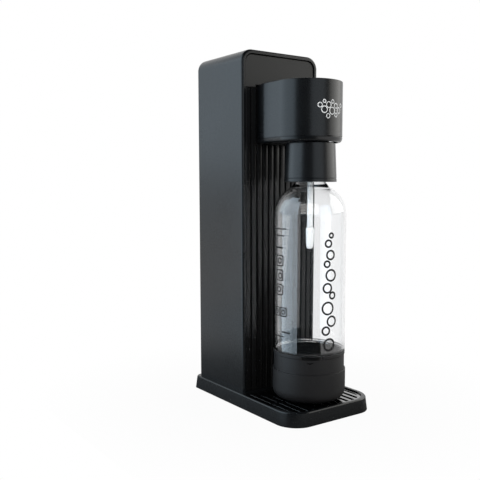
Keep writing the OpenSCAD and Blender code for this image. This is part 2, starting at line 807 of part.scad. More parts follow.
module holder_body() {
    color([0.07, 0.07, 0.075]) difference() {
        union() {
            translate([0, axis_y, lock_top]) cylinder(r = skirt_radius, h = collar_seat - lock_top);
            translate([0, axis_y, lock_top]) cylinder(r = core_radius, h = core_top - lock_top);
            translate([hose_x, axis_y + 8, core_port_z]) rotate([-90, 0, 0])
                cylinder(r = hose_radius + 2, h = core_radius - 8);
        }
        translate([0, axis_y, lock_top - 1]) cylinder(r = lug_radius + 0.6, h = socket_top - lock_top + 1);
        translate([0, axis_y, socket_top - 1]) cylinder(r = nozzle_radius + 0.02, h = 7);
        for (s = [-1, 1]) translate([s * 12, axis_y, pivot_z]) rotate([0, s * 90, 0])
            cylinder(r = trunnion_radius + 0.02, h = 20);
        translate([relief_x, axis_y, relief_seat - 4]) cylinder(r = 1, h = 20);
        for (s = [-1, 1]) translate([0, axis_y, 0]) rotate(s * 90) translate([20.6, 0, lock_top - 1])
            cylinder(r = screw_radius - 0.5 + screw_fit, h = 7);
    }
}

module holder_collar() {
    color([0.05, 0.05, 0.055]) translate([0, axis_y, 0]) rotate_extrude() polygon([
        [collar_low_radius - collar_wall, collar_bottom], [collar_low_radius - 0.6, collar_bottom],
        [collar_low_radius, collar_bottom + 0.6], [collar_low_radius - 0.1, collar_bottom + 3.4],
        [collar_low_radius - 0.6, collar_bottom + 3.6], [collar_low_radius - 0.6, collar_bottom + 4],
        [collar_low_radius - 0.2, collar_bottom + 4.2], [collar_top_radius, collar_top - 0.6],
        [collar_top_radius - 0.6, collar_top], [core_radius + 0.15, collar_top], [core_radius + 0.15, collar_seat],
        [collar_top_radius - collar_wall, collar_seat]]);
}

module trunnion_pins() {
    color([0.78, 0.78, 0.8]) for (s = [-1, 1]) translate([s * 12, axis_y, pivot_z]) rotate([0, s * 90, 0])
        cylinder(r = trunnion_radius, h = ear_inner + ear_thick - 12.8);
}

module lock_ring() {
    color([0.75, 0.75, 0.77]) translate([0, axis_y, lock_top - lock_thick]) difference() {
        cylinder(r = skirt_radius, h = lock_thick);
        translate([0, 0, -1]) cylinder(r = neck_radius + 0.4, h = lock_thick + 2);
        for (s = [0, 180]) rotate(s + turn_angle) translate([0, 0, -1]) linear_extrude(lock_thick + 2)
            intersection() {
                circle(lug_radius + 0.4);
                polygon([[0, 0], 40 * [cos(lug_angle / 2 + 3), -sin(lug_angle / 2 + 3)],
                         40 * [cos(lug_angle / 2 + 3), sin(lug_angle / 2 + 3)]]);
            }
        for (s = [-1, 1]) rotate(s * 90) translate([20.6, 0, -1])
            cylinder(r = screw_radius - 0.5 + screw_fit, h = lock_thick + 2);
    }
}

module lock_screws() {
    color([0.7, 0.7, 0.72]) for (s = [-1, 1]) translate([0, axis_y, 0]) rotate(s * 90)
        translate([20.6, 0, lock_top - lock_thick - 1]) {
            cylinder(r = 2, h = 1);
            cylinder(r = screw_radius - 0.5, h = lock_thick + 5);
        }
}

module bottle_seal() {
    color([0.85, 0.85, 0.84]) translate([0, axis_y, mouth_z]) difference() {
        cylinder(r = neck_radius, h = seal_thick);
        translate([0, 0, -1]) cylinder(r = nozzle_radius + 1, h = seal_thick + 2);
    }
}

module nozzle_tube() {
    color([0.95, 0.95, 0.94]) translate([0, axis_y, nozzle_end + tip_length]) difference() {
        cylinder(r = nozzle_radius, h = socket_top + 5 - nozzle_end - tip_length);
        translate([0, 0, -1]) cylinder(r = 1.5, h = 200);
    }
}

module nozzle_tip() {
    r = tip_radius;
    color([0.95, 0.95, 0.94]) translate([0, axis_y, 0]) rotate_extrude() polygon(concat(
        [[1, nozzle_end + tip_length], [1, nozzle_end]],
        arc([r - 3.9, nozzle_end + 3.4], 3.4, -90, 0, 6),
        [[r, nozzle_end + tip_length - 4], [r, nozzle_end + tip_length - 2.5],
         [nozzle_radius, nozzle_end + tip_length]]));
}

module relief_body() {
    color([0.8, 0.65, 0.35]) translate([relief_x, axis_y, core_top]) difference() {
        cylinder(r = relief_radius, h = relief_top - core_top - 1.2);
        translate([0, 0, relief_seat - core_top]) cylinder(r = relief_bore, h = 20);
        translate([0, 0, -1]) cylinder(r = 1, h = 20);
    }
}

module relief_cap() {
    color([0.8, 0.65, 0.35]) translate([relief_x, axis_y, relief_top - 1.2]) difference() {
        cylinder(r = relief_radius, h = 1.2);
        translate([0, 0, -1]) cylinder(r = 1 + run_fit, h = 4);
    }
}

module relief_poppet() {
    color([0.75, 0.75, 0.77]) translate([relief_x, axis_y, relief_seat]) {
        cylinder(r = relief_bore - run_fit, h = poppet_thick);
        cylinder(r = 1, h = relief_top - relief_seat);
    }
}

module relief_spring() {
    color([0.7, 0.7, 0.72]) translate([relief_x, axis_y, 0])
        coil(2.1, 0.3, 3, relief_seat + poppet_thick, relief_top - 1.2);
}

module hose_fittings() {
    color([0.8, 0.65, 0.35]) {
        translate([hose_x, block_port[0], block_port[1]]) rotate([-90, 0, 0])
            cylinder(r = hose_radius + 1, h = fitting_length, $fn = 6);
    }
}

module holder_fitting() {
    color([0.8, 0.65, 0.35]) translate([hose_x, axis_y + core_radius, core_port[1]]) rotate([-90, 0, 0])
        cylinder(r = hose_radius + 1, h = core_port[0] - axis_y - core_radius, $fn = 6);
}

module gas_hose() {
    color([0.1, 0.1, 0.1]) sweep([for (i = [0:hose_steps]) let (t = i / hose_steps,
        c = curve(hose_path, t), d = curve_way(hose_path, t) / norm(curve_way(hose_path, t)))
        [for (j = [0:9]) let (a = 36 * j) [hose_x + hose_radius * cos(a),
            c[0] + hose_radius * sin(a) * d[1], c[1] - hose_radius * sin(a) * d[0]]]]);
}

module bottle_body() {
    w = bottle_wall;
    low = bottle_low;
    rl = bottle_low_radius;
    knee = cup_rim + 0.3;
    centre = [bottle_radius - shoulder_radius, shoulder_z];
    sweep_angle = asin(shoulder_height / shoulder_radius);
    outer = concat([[0, low]], arc([rl - 12, low + 12], 12, -90, 0, 6), [[rl, knee - 1.6], [bottle_radius, knee]],
        arc(centre, shoulder_radius, 0, sweep_angle, 10),
        [[crease_radius - 1.2, crease_z + 0.8], [neck_radius + 3, collar_bottom - 2],
         [neck_radius + 0.8, collar_bottom + 0.5], [neck_radius, collar_bottom + 4], [neck_radius, mouth_z]]);
    inner = concat([[neck_radius - 2, mouth_z], [neck_radius - 2, collar_bottom + 4],
         [neck_radius + 0.8 - w, collar_bottom], [neck_radius + 3 - w, collar_bottom - 2 - w]],
        arc(centre, shoulder_radius - w, sweep_angle - 2, 0, 10),
        [[bottle_radius - w, knee + w], [rl - w, knee - 1.6]],
        arc([rl - 12, low + 12], 12 - w, 0, -90, 6), [[0, low + w]]);
    color([0.9, 0.95, 0.97, 0.3]) translate([0, axis_y, 0]) {
        rotate_extrude() polygon(concat(outer, inner));
        for (s = [0, 180]) rotate(s) translate([0, 0, lug_bottom]) linear_extrude(lug_height) intersection() {
            difference() {
                circle(lug_radius);
                circle(neck_radius - 0.8);
            }
            polygon([[0, 0], 40 * [cos(lug_angle / 2), -sin(lug_angle / 2)],
                     40 * [cos(lug_angle / 2), sin(lug_angle / 2)]]);
        }
    }
}

module bottle_base_cup() {
    r = cup_radius;
    w = cup_wall;
    color([0.04, 0.04, 0.045]) translate([0, axis_y, 0]) rotate_extrude() polygon(concat(
        [[0, cup_bottom]], arc([r - cup_round, cup_bottom + cup_round], cup_round, -90, 0, 7),
        [[r, cup_bottom + cup_step + 0.6], [cup_waist, cup_bottom + cup_step + 0.9],
         [cup_waist, cup_top - cup_lip - 0.5], [cup_waist - 0.3, cup_top - cup_lip - 0.4],
         [cup_waist - 0.3, cup_top - cup_lip - 0.1], [bottle_radius + 0.1, cup_top - cup_lip],
         [bottle_radius + 0.1, cup_top - 0.2], [bottle_radius - 0.1, cup_top], [bottle_radius - 0.6, cup_top],
         [bottle_radius - w, cup_rim - 1.6]],
        [[bottle_radius - w, bottle_low + 12]],
        arc([bottle_low_radius - 12, bottle_low + 12], 12.1, 0, -90, 6), [[0, bottle_low]]));
}

module gas_vessel() {
    w = vessel_wall;
    rise = vessel_neck_low - vessel_side_top;
    run = vessel_radius - vessel_neck;
    outer = concat([[0, vessel_bottom]], arc([vessel_radius - 6, vessel_bottom + 6], 6, -90, 0, 5),
        [for (i = [0:10]) let (a = 9 * i) [vessel_neck + run * cos(a), vessel_side_top + rise * sin(a)]],
        [[vessel_neck, vessel_neck_top]]);
    inner = concat([[9.05, vessel_neck_top], [9.05, vessel_neck_low - 6]],
        [for (i = [8:-1:0]) let (a = 9 * i) [vessel_neck - w + run * cos(a), vessel_side_top - w + rise * sin(a)]],
        [[vessel_radius - w, vessel_bottom + 10], [vessel_radius - w - 4, vessel_bottom + 6], [0, vessel_bottom + 6]]);
    color([0.78, 0.79, 0.8]) translate([0, vessel_y, 0]) rotate_extrude() polygon(concat(outer, inner));
}

module gas_label_sleeve() {
    color([0.1, 0.35, 0.75]) translate([0, vessel_y, label_low]) difference() {
        cylinder(r = vessel_radius + label_thick + 0.03, h = label_top - label_low);
        translate([0, 0, -1]) cylinder(r = vessel_radius + 0.03, h = label_top);
    }
}

module gas_valve() {
    color([0.8, 0.65, 0.35]) translate([0, vessel_y, 0]) difference() {
        union() {
            translate([0, 0, vessel_neck_low - 4]) cylinder(r = 9, h = thread_top - vessel_neck_low + 4);
            translate([0, 0, vessel_neck_top]) cylinder(r = 13, h = valve_seat - 0.3 - vessel_neck_top, $fn = 6);
            translate([0, 0, vessel_neck_top]) cylinder(r = thread_radius - 1, h = thread_top - vessel_neck_top);
            for (i = [0:4]) translate([0, 0, valve_seat + 1.2 + 2.6 * i]) cylinder(r = thread_radius, h = 1.4);
        }
        translate([0, 0, valve_seat]) cylinder(r = valve_pin_radius + run_fit, h = 40);
    }
}

module gas_valve_pin() {
    color([0.78, 0.78, 0.8]) translate([0, vessel_y, valve_seat + 3])
        cylinder(r = valve_pin_radius, h = valve_pin_top - valve_seat - 3);
}

module rear_cover() {
    low = base_height + cover_gap;
    color([0.05, 0.05, 0.055]) difference() {
        union() {
            along_y(cover_y, cover_y + cover_thick)
                arch(tower_inner - 2 * cover_gap, low, tower_inner_top - cover_gap, tower_inner_corner);
            for (s = [-1, 1]) translate([s * 30 - 5, cover_y - 6, low]) cube([10, 6 + touch, 3]);
        }
        along_y(cover_y + 1.2, cover_y + cover_thick + 1) {
            translate([-18, tower_inner_top - 24]) square([36, 12]);
            for (s = [-1, 1]) translate([s * 18, tower_inner_top - 18]) circle(6);
        }
    }
}

base_plinth();
base_plate();
rubber_feet();
base_screws();
drip_tray();
drip_grate();
tower_shell();
upper_front_panel();
fluted_panel();
chassis();
chassis_screws();
cylinder_cradle();
valve_block();
block_screws();
valve_seal();
pusher();
pusher_seal();
rocker_lever();
lever_pin();
lever_clips();
head_shell();
head_lower_ring();
head_bottom_plate();
head_screws();
button_cap();
button_stem();
button_spring();
button_guide();
holder_body();
holder_collar();
trunnion_pins();
lock_ring();
lock_screws();
bottle_seal();
nozzle_tube();
nozzle_tip();
relief_body();
relief_cap();
relief_poppet();
relief_spring();
hose_fittings();
holder_fitting();
gas_hose();
bottle_body();
bottle_base_cup();
gas_vessel();
gas_label_sleeve();
gas_valve();
gas_valve_pin();
rear_cover();
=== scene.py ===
# Sparkling water maker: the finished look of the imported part, in the part's own frame and in metres.
# +Z is up and -Y is the front. The sections follow the machine as it is put together.
import math

import bmesh
import bpy
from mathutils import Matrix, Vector


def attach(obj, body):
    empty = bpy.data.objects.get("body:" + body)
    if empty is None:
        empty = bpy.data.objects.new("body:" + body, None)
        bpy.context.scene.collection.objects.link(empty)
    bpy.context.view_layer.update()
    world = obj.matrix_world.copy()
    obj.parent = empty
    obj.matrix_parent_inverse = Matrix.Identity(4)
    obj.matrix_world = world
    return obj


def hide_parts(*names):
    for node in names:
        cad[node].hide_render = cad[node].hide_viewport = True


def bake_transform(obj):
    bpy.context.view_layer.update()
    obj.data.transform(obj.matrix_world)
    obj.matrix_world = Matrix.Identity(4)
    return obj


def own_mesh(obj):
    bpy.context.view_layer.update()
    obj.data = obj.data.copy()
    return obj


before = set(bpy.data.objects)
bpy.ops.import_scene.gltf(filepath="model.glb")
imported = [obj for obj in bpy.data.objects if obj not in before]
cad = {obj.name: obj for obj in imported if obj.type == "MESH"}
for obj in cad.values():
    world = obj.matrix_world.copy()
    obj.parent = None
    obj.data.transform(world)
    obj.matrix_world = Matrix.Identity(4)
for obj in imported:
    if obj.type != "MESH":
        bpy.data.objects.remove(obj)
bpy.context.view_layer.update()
MM = 0.001


# Camera. It stands at the height of the bottle's neck, to the left of the machine's front, and looks slightly
# down. Its place, its turn and its lens are fitted to the photograph.
camera_turn = math.radians(35.04)
camera_dip = math.radians(4.63)
camera_lens = bpy.data.cameras.new("camera")
camera_lens.sensor_width = 36.0
camera_lens.lens = 50.87
camera_lens.clip_start = 0.01
camera = bpy.data.objects.new("camera", camera_lens)
camera.location = (-0.4887, -0.6145, 0.2506)
camera.rotation_euler = (math.pi / 2 - camera_dip, 0.0, -camera_turn)
bpy.context.collection.objects.link(camera)
bpy.context.scene.camera = camera
bpy.context.scene.view_settings.view_transform = "Standard"


# Studio. White paper lies under the machine, the world behind it is white, and the room behind the camera is
# dim.
# Cool soft boxes stand along the left side and in front, and a warm one on the right. A key box from the left
# lights matt surfaces only.
class Shade:
    """An output of a shader's nodes. Sums written with it add Math nodes."""

    def __init__(self, tree, socket=None):
        self.tree = tree
        self.socket = socket

    def node(self, kind, settings=None, sockets=None, out=0):
        made = self.tree.nodes.new("ShaderNode" + kind)
        for name, value in (settings or {}).items():
            if name == "stops":
                while len(made.color_ramp.elements) < len(value):
                    made.color_ramp.elements.new(1.0)
                for element, (place, tone) in zip(made.color_ramp.elements, value):
                    element.position = place
                    element.color = (tone, tone, tone, 1.0)
            else:
                setattr(made, name, value)
        for name, value in (sockets or {}).items():
            if isinstance(value, Shade):
                self.tree.links.new(value.socket, made.inputs[name])
            else:
                made.inputs[name].default_value = value
        return Shade(self.tree, made.outputs[out])

    def sum(self, operation, first, second):
        return self.node("Math", {"operation": operation}, {0: first, 1: second})

    def __add__(self, other):
        return self.sum("ADD", self, other)

    def __radd__(self, other):
        return self.sum("ADD", other, self)

    def __sub__(self, other):
        return self.sum("SUBTRACT", self, other)

    def __rsub__(self, other):
        return self.sum("SUBTRACT", other, self)

    def __mul__(self, other):
        return self.sum("MULTIPLY", self, other)

    def __rmul__(self, other):
        return self.sum("MULTIPLY", other, self)

    def __gt__(self, other):
        return self.sum("GREATER_THAN", self, other)

    def __lt__(self, other):
        return self.sum("LESS_THAN", self, other)


def blended(first, second, share):
    """A colour between two others. Each is a tuple or a Shade, and share is a Shade."""
    return share.node("Mix", {"data_type": "RGBA"}, {0: share, 6: first, 7: second}, out=2)


def ramped(value, low, high, first=0.0, last=1.0):
    """A value that goes from first to last while another one goes from low to high."""
    return value.node("MapRange", None, {0: value, 1: low, 2: high, 3: first, 4: last})


def along(place, direction):
    """How far a place lies along a direction."""
    return place.node("VectorMath", {"operation": "DOT_PRODUCT"}, {0: place, 1: direction}, out="Value")


def coordinate(place, axis):
    """One coordinate of a place: 0 is across, 1 is to the back and 2 is up."""
    return place.node("SeparateXYZ", None, {"Vector": place}, out=axis)


def seen_white(share):
    """1 for camera rays, and a share for rays that come through or off a surface."""
    through = share.node("LightPath", out="Is Transmission Ray")
    off = share.node("LightPath", out="Is Glossy Ray")
    return share.sum("MAXIMUM", share.node("LightPath", out="Is Camera Ray"), share * (through + off))


studio_world = bpy.data.worlds.new("studio")
studio_world.use_nodes = True
bpy.context.scene.world = studio_world
sky = Shade(studio_world.node_tree)
sky_glow = studio_world.node_tree.nodes["Background"]
away = (math.sin(camera_turn), math.cos(camera_turn), 0.0)
left = (-1.0, 0.0, 0.0)
white = (1.0, 1.0, 1.0, 1.0)
warm_white = (1.0, 1.0, 0.98, 1.0)
cool_grey = (0.58, 0.68, 0.76, 1.0)
dim_room = 0.05
lit_room = 0.95
dim_ceiling = 0.08
heading = sky.node("TexCoord", out="Generated")
depth = along(heading, away)
room = heading.node("ValToRGB", {"stops": [(0.40, dim_room), (0.60, lit_room)]}, {0: depth * 0.5 + 0.5})
overhead = ramped(coordinate(heading, 2), 0.45, 0.75, 1.0, dim_ceiling)
backdrop = blended(warm_white, cool_grey, ramped(along(heading, left), -0.1, 0.6))
studio = heading.node("Mix", {"data_type": "RGBA", "blend_type": "MULTIPLY"},
                      {0: 1.0, 6: backdrop, 7: room * overhead}, out=2)
backdrop_seen = seen_white(ramped(depth, 0.45, 0.75))
sky.tree.links.new(blended(studio, white, backdrop_seen).socket, sky_glow.inputs["Color"])


def soft_box(name, place, aim, width, height, watts, colour, mirrored=True):
    """A flat lamp that faces a point. One that isn't mirrored lights matt surfaces only."""
    lamp = bpy.data.lights.new(name, "AREA")
    lamp.shape = "RECTANGLE"
    lamp.size = width
    lamp.size_y = height
    lamp.energy = watts
    lamp.color = colour
    stand = bpy.data.objects.new(name, lamp)
    stand.location = place
    stand.rotation_euler = (Vector(aim) - Vector(place)).to_track_quat("-Z", "Y").to_euler()
    stand.visible_glossy = mirrored
    bpy.context.collection.objects.link(stand)


cool = (0.71, 0.87, 1.0)
pale_cool = (0.82, 0.92, 1.0)
warm = (1.0, 0.995, 0.95)
key_warm = (1.0, 0.98, 0.95)
soft_box("left_box", (-0.50, 0.25, 0.47), (0.0, 0.25, 0.47), 0.50, 1.18, 3.60, cool)
soft_box("left_high_box", (-0.50, -0.08, 0.53), (0.0, -0.08, 0.53), 0.16, 0.46, 0.46, cool)
soft_box("left_low_box", (-0.50, -0.075, 0.09), (0.0, -0.075, 0.09), 0.15, 0.42, 0.26, cool)
soft_box("left_back_box", (-0.50, 0.725, 0.57), (0.0, 0.725, 0.57), 0.45, 0.60, 0.9, cool)
soft_box("left_top_box", (-0.32, 0.52, 0.80), (0.0, -0.05, 0.26), 0.75, 0.42, 0.30, cool)
soft_box("right_box", (1.05, -0.775, 0.825), (0.0, -0.775, 0.825), 1.45, 1.09, 8.4, warm)
soft_box("front_box", (-0.12, -1.50, 0.55), (0.0, 0.0, 0.35), 1.3, 0.8, 3.0, pale_cool)
soft_box("key_box", (-0.80, -0.95, 0.75), (0.0, -0.05, 0.25), 1.4, 1.0, 16.0, key_warm, mirrored=False)

paper_mesh = bpy.data.meshes.new("paper")
paper_edge = [(-0.24, 0.5), (-0.24, -0.2), (-0.02, -0.34), (-0.9, -6.0), (6.0, -6.0), (6.0, 6.0), (-6.0, 6.0),
              (-6.0, 1.5)]
paper_mesh.from_pydata([(x, y, 0.0) for x, y in paper_edge], [], [tuple(range(len(paper_edge)))])
paper = bpy.data.objects.new("paper", paper_mesh)
bpy.context.collection.objects.link(paper)
paper_finish = bpy.data.materials.new("white_paper")
paper_finish.use_nodes = True
sheet = Shade(paper_finish.node_tree)
paper_body = paper_finish.node_tree.nodes["Principled BSDF"]
paper_body.inputs["Base Color"].default_value = (0.24, 0.24, 0.24, 1.0)
paper_body.inputs["Roughness"].default_value = 0.9
paper_body.inputs["Specular IOR Level"].default_value = 0.0
paper_glow = sheet.node("Emission", None, {"Color": white, "Strength": 1.0})
paper_place = sheet.node("TexCoord", out="Object")
paper_far = sheet.node("VectorMath", {"operation": "LENGTH"}, {0: paper_place}, out="Value")
paper_share = ramped(paper_far, 0.10, 0.30, 0.965, 1.0)
# Painted reflection: in reflections the paper's glow is painted out near the machine and painted dimmer to
# the left.
painted_reflection_fade = ramped(paper_far, 0.22, 0.42)
painted_reflection_left_shade = ramped(coordinate(paper_place, 0), -0.3, 0.2, 0.78, 1.0)
paper_seen = paper_share * seen_white(painted_reflection_fade * painted_reflection_left_shade)
paper_matt = Shade(sheet.tree, paper_body.outputs[0])
paper_mix = sheet.node("MixShader", None, {0: paper_seen, 1: paper_matt, 2: paper_glow})
sheet.tree.links.new(paper_mix.socket, sheet.tree.nodes["Material Output"].inputs["Surface"])
paper_mesh.materials.append(paper_finish)


# Base. The plinth is one black moulding whose sides lean in towards the rim. A flat plate with four
# rubber feet closes it from below, held by two screws.
def finish(name, **sockets):
    """A new material, its shader with constant sockets set, and the piece's own coordinates."""
    material = bpy.data.materials.new(name)
    material.use_nodes = True
    shader = material.node_tree.nodes["Principled BSDF"]
    for socket, value in sockets.items():
        shader.inputs[socket.replace("_", " ")].default_value = value
    start = Shade(material.node_tree)
    return material, shader, start.node("TexCoord", out="Object")


def feed(shader, **sockets):
    """Links shades to a shader's sockets."""
    for socket, shade in sockets.items():
        shade.tree.links.new(shade.socket, shader.inputs[socket.replace("_", " ")])


def noise(place, size, detail=2.0):
    """Cloudy noise with features of about this size in metres, from 0 to 1."""
    return place.node("TexNoise", None, {"Vector": place, "Scale": 1.0 / size, "Detail": detail}, out=0)


def bumped(height, depth):
    """A normal from a height, for a surface whose relief is this deep in metres."""
    return height.node("Bump", None, {"Height": height, "Distance": depth})


opaque = (1.0,)
cloud_size = 0.045
gloss_swing = 0.10


def moulded(name, dark, pale, roughness, grain, relief, **sockets):
    """Moulded plastic: a fine spark-eroded grain, faint flow clouds and slightly uneven gloss."""
    material, shader, place = finish(name, **sockets)
    cloud = noise(place, cloud_size)
    speck = noise(place, grain, 3.0)
    feed(shader, Base_Color=blended(dark + opaque, pale + opaque, cloud),
         Roughness=roughness + (cloud - 0.5) * gloss_swing + (speck - 0.5) * gloss_swing,
         Normal=bumped(speck, relief))
    return material


def worn(name, dark, pale, patch, detail, roughness, swing, pore=None, relief=0.0, **sockets):
    """Rubber or print: its tone and its gloss follow the same patches of wear. Rubber also has fine pores."""
    material, shader, place = finish(name, **sockets)
    wear = noise(place, patch, detail)
    feed(shader, Base_Color=blended(dark + opaque, pale + opaque, wear), Roughness=roughness + swing * wear)
    if pore:
        feed(shader, Normal=bumped(noise(place, pore), relief))
    return material


stain_size = 0.003
tool_line_width = 0.0012
tool_line_depth = 0.00002


def metal(name, dark, bright, low, high, stretch):
    """Worked metal: fine tool lines drawn out along one direction."""
    material, shader, place = finish(name, Metallic=1.0)
    lines = place.node("Mapping", {"vector_type": "POINT"}, {"Vector": place, "Scale": stretch})
    grain = noise(lines, tool_line_width, 4.0)
    feed(shader, Base_Color=blended(dark + opaque, bright + opaque, noise(place, stain_size)),
         Roughness=low + (high - low) * grain, Normal=bumped(grain, tool_line_depth))
    return material


def skin(name, work, smooth=32.0):
    """An object from a worked mesh, shaded smooth up to an angle in degrees."""
    mesh = bpy.data.meshes.new(name)
    work.to_mesh(mesh)
    work.free()
    for face in mesh.polygons:
        face.use_smooth = True
    mesh.set_sharp_from_angle(angle=math.radians(smooth))
    piece = bpy.data.objects.new(name, mesh)
    bpy.context.collection.objects.link(piece)
    weights = piece.modifiers.new("even_normals", "WEIGHTED_NORMAL")
    weights.keep_sharp = True
    return piece


weld_distance = 2e-6
flat_angle = math.radians(0.6)
edge_angle = math.radians(25)


def softened(node, rounds, smooth=40.0, reshape=None):
    """A copy of a CAD node with rounded edges. Each round is a radius in mm, its steps and a test of an
    edge's middle, also in mm. A reshape then takes each corner in mm and gives its new place."""
    work = bmesh.new()
    work.from_mesh(cad[node].data)
    bmesh.ops.remove_doubles(work, verts=work.verts, dist=weld_distance)
    bmesh.ops.dissolve_limit(work, angle_limit=flat_angle, verts=work.verts, edges=work.edges)
    for radius, steps, wanted in rounds:
        chosen = []
        for edge in work.edges:
            middle = (edge.verts[0].co + edge.verts[1].co) / (2 * MM)
            if len(edge.link_faces) == 2 and edge.calc_face_angle(0.0) > edge_angle and wanted(*middle):
                chosen.append(edge)
        bmesh.ops.bevel(work, geom=chosen, offset=radius * MM, segments=steps, profile=0.5, affect="EDGES",
                        clamp_overlap=True)
    if reshape:
        for corner in work.verts:
            corner.co = Vector(reshape(*(corner.co / MM))) * MM
    return skin(node + "_finished", work, smooth)


def mount(piece, body, slot, material, *nodes):
    """Puts a finished piece on its body, in place of the CAD nodes that it stands for."""
    piece.data.materials.clear()
    piece.data.materials.append(material)
    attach(piece, body)
    if nodes:
        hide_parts(*nodes)


def dress(material, *nodes):
    """Gives CAD nodes that keep their shape a finish."""
    for node in nodes:
        for slot in cad[node].material_slots:
            slot.material = material


rim_z = 13.0
rim_side = 55.8
rim_back = 85.0
rim_front = -90.0


def plinth_rim(x, y, z):
    """Whether an edge lies on the outer side of the plinth's rim."""
    return z > rim_z and (abs(x) > rim_side or y > rim_back or y < rim_front)


satin = 0.45
shell_dark = (0.0026, 0.0029, 0.0034)
shell_pale = (0.0040, 0.0044, 0.0050)
shell_black = moulded("shell_black", shell_dark, shell_pale, roughness=0.28, grain=0.0007, relief=0.000015,
                      Specular_IOR_Level=satin)
inner_black = moulded("inner_black", (0.020, 0.020, 0.021), (0.030, 0.030, 0.031), roughness=0.58,
                      grain=0.0010, relief=0.00006)
foot_rubber = worn("foot_rubber", (0.010, 0.010, 0.010), (0.030, 0.030, 0.029), patch=0.004, detail=4.0,
                   roughness=0.75, swing=0.2, pore=0.0006, relief=0.00005)
steel = metal("screw_steel", (0.50, 0.51, 0.52), (0.66, 0.67, 0.68), low=0.22, high=0.42,
              stretch=(1.0, 1.0, 6.0))
plinth = softened("base_plinth", [(0.7, 3, plinth_rim)])
mount(plinth, "machine", "shell_black", shell_black, "base_plinth")
dress(inner_black, "base_plate")
dress(foot_rubber, "rubber_feet")
dress(steel, "base_screws")


# Drip tray and grate. The tray is a shallow moulding that lifts out of the base. The grate lies on it,
# with long slots from front to back and one bar across them.
tray_black = moulded("tray_black", (0.0009, 0.0009, 0.0011), (0.0016, 0.0016, 0.0018), roughness=0.16,
                     grain=0.0009, relief=0.000004, Coat_Weight=1.0, Coat_Roughness=0.08)
slot_edge_z = 14.0
grate = softened("drip_grate", [(0.2, 2, lambda x, y, z: z > slot_edge_z)])
mount(grate, "machine", "shell_black", tray_black, "drip_grate")
dress(tray_black, "drip_tray")


# Tower shell. One black extrusion-like moulding, open at the front and back, with round top corners and a
# well rounded front edge. It widens slightly towards its top. It stands on the base and is screwed from below
# through two rails.
corner_x = 38.5
corner_z = 386.0
wall_middle = 11.75
rim_low = 16.5
front_rim_y = 1.5
back_rim_y = 92.5
tower_foot = 17.0
tower_spread = 0.00011


def outside(x, z):
    """Whether a point on the shell's front or back edge lies on its outer side."""
    return math.hypot(max(abs(x) - corner_x, 0.0), max(z - corner_z, 0.0)) > wall_middle


def front_outer(x, y, z):
    """Whether an edge is the outer one of the shell's front rim."""
    return z > rim_low and y < front_rim_y and outside(x, z)


def back_outer(x, y, z):
    """Whether an edge is the outer one of the shell's back rim."""
    return z > rim_low and y > back_rim_y and outside(x, z)


def rim_inner(x, y, z):
    """Whether an edge is the inner one of either rim."""
    return z > rim_low and (y < front_rim_y or y > back_rim_y) and not outside(x, z)


def spread(x, y, z):
    """A corner of the tower, moved outwards. The tower is 2 mm wider on each side at its top than at its
    foot."""
    return (x * (1.0 + tower_spread * max(z - tower_foot, 0.0)), y, z)


tower = softened("tower_shell", [(2.6, 6, front_outer), (1.6, 5, back_outer), (0.4, 2, rim_inner)],
                 reshape=spread)
mount(tower, "machine", "shell_black", shell_black, "tower_shell")


# Chassis. A dark inner frame carries the valve and the lever, and a cradle in front of the gas cylinder
# keeps it upright. None of it shows from outside while the rear cover is on.
dress(inner_black, "chassis", "cylinder_cradle")
dress(steel, "chassis_screws")


# Front panels. The smooth upper panel and the fluted lower panel are snapped into the shell, set back a
# little behind its edge. The flutes are nearly flat bars with narrow grooves between them.
dull = 0.36
panel_black = moulded("panel_black", (0.0115, 0.0113, 0.0111), (0.0155, 0.0152, 0.0149), roughness=0.44,
                      grain=0.0006, relief=0.000015, Specular_IOR_Level=dull)
flute_black = moulded("flute_black", (0.0040, 0.0040, 0.0042), (0.0060, 0.0060, 0.0062), roughness=0.24,
                      grain=0.0006, relief=0.000008, Specular_IOR_Level=dull)
panel_face_y = 2.5
flute_face_y = 2.3
groove_y = 3.4
flute_foot = 17.0
flute_top = 357.0


def flute_edge(x, y, z):
    """Whether an edge runs along a flute's face."""
    return flute_face_y < y < groove_y and flute_foot < z < flute_top


upper_panel = softened("upper_front_panel", [(1.2, 4, lambda x, y, z: y < panel_face_y)], reshape=spread)
mount(upper_panel, "machine", "panel_black", panel_black, "upper_front_panel")
flutes = softened("fluted_panel", [(0.35, 2, flute_edge)], reshape=spread)
mount(flutes, "machine", "panel_black", flute_black, "fluted_panel")


# Gas valve block. A milled aluminium block under which the cylinder's valve screws in, with the pusher
# that opens it and its rubber seals.
aluminium = metal("milled_aluminium", (0.62, 0.63, 0.64), (0.76, 0.77, 0.78), low=0.28, high=0.46,
                  stretch=(8.0, 1.0, 1.0))
seal_rubber = worn("seal_rubber", (0.008, 0.008, 0.008), (0.020, 0.020, 0.020), patch=0.002, detail=3.0,
                   roughness=0.45, swing=0.25, pore=0.0005, relief=0.00003)
dress(aluminium, "valve_block")
dress(steel, "block_screws", "pusher")
dress(seal_rubber, "valve_seal", "pusher_seal")


# Rocker lever. A stamped steel lever turns on a pin held by two clips, and carries the button's push
# over to the pusher.
stamped_steel = metal("stamped_steel", (0.42, 0.43, 0.45), (0.56, 0.57, 0.59), low=0.30, high=0.50,
                      stretch=(1.0, 7.0, 1.0))
dress(stamped_steel, "rocker_lever")
dress(steel, "lever_pin", "lever_clips")


